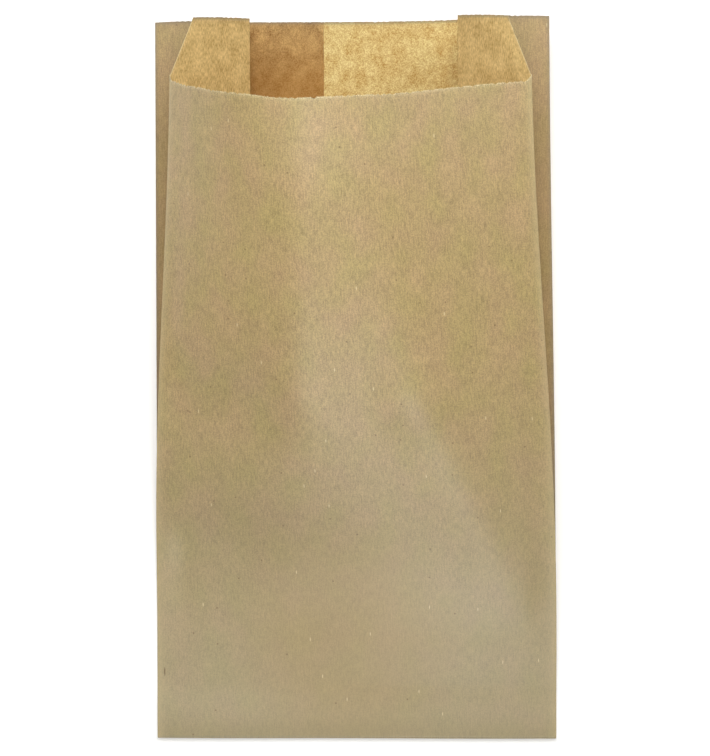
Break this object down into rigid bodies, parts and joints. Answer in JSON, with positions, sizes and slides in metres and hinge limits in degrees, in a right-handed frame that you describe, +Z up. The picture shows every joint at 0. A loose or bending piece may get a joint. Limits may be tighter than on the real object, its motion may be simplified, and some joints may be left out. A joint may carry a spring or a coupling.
{
  "type": "paper lunch bag",
  "caption": "Plain brown kraft paper lunch bag with side gussets and a glued bottom flap, lying on its back with its mouth sprung open.",
  "frame": {"origin": "centre of the bounding box on the surface that the bag lies on", "axes": "+X across the bag to the right, +Y from the bottom fold to the mouth, +Z up from the surface"},
  "size_m": [0.1504, 0.2711, 0.0756],
  "materials": {
    "kraft_paper": "unbleached kraft, faint machine glaze outside, rough inside"
  },
  "bodies": {
    "root": {"paper_bag": "kraft_paper"}
  },
  "joints": []
}
